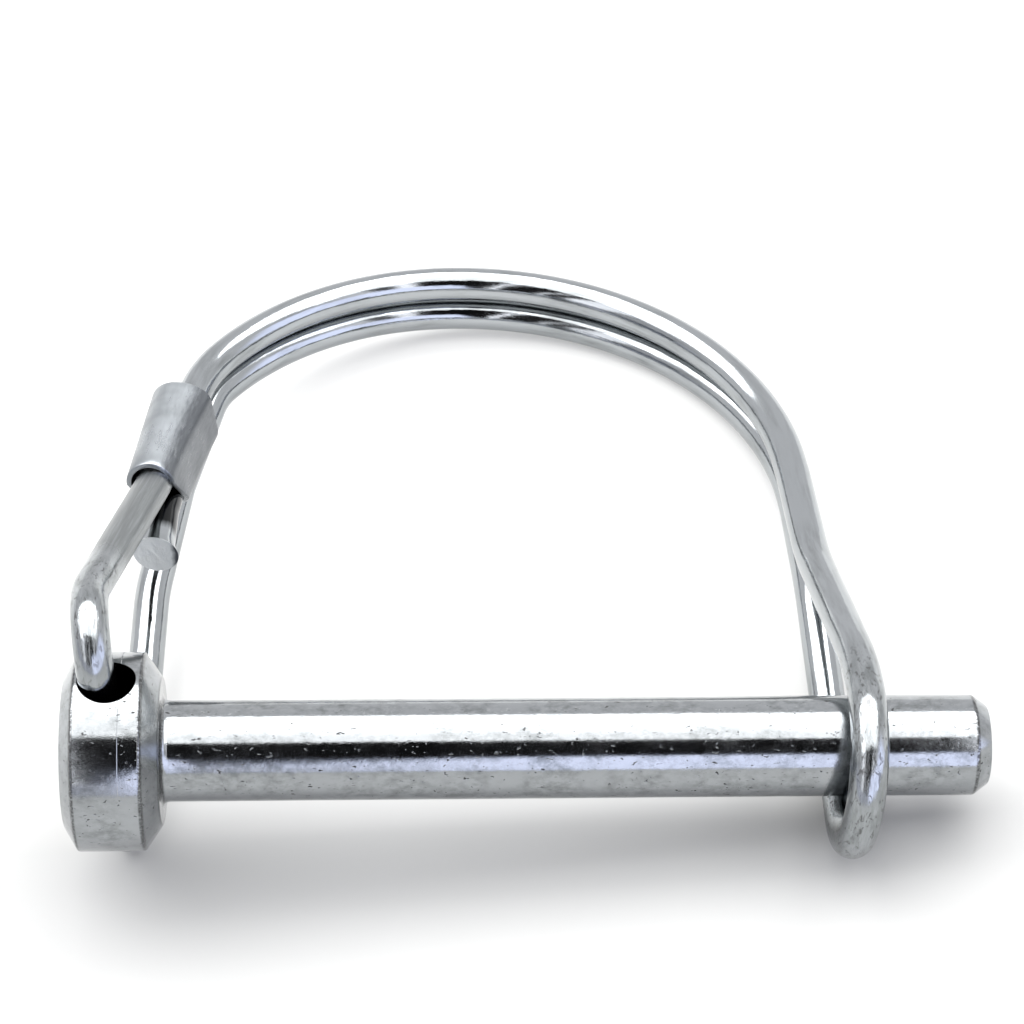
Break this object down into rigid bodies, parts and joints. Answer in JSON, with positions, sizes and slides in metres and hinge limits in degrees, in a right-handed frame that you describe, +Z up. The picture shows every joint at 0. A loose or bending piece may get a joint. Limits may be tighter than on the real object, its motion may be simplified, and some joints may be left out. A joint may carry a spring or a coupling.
{
  "type": "wire lock pin",
  "caption": "Headed steel pin with a double-wire spring bail that turns in the head and snaps over the tip, to lock the pin in a hole.",
  "frame": {"origin": "on the table, under the middle of the part's box", "axes": "+Z up from the table, +X along the pin towards its tip as seen from above, +Y from the pin towards the arch of the bail. The part lies at rest on its bail, so the pin slopes down a little towards its tip."},
  "size_m": [0.0584, 0.0552, 0.0204],
  "materials": {
    "zinc_pin": "bright zinc plate over turned steel, fine pits and scuffs",
    "zinc_wire": "zinc plated spring wire with drawing lines",
    "sleeve_steel": "satin grey tube"
  },
  "bodies": {
    "pin": {"lock_pin": "zinc_pin"},
    "bail": {"wire_bail": "zinc_wire", "ferrule": "sleeve_steel"}
  },
  "joints": [
    {"name": "bail_swing", "type": "hinge", "parent": "pin", "child": "bail", "pos_m": [-0.0259, -0.02016, 0.01028], "axis": [0.0865, 0.1101, 0.9902], "range_deg": [0, 180], "deforming": ["wire_bail"]}
  ]
}
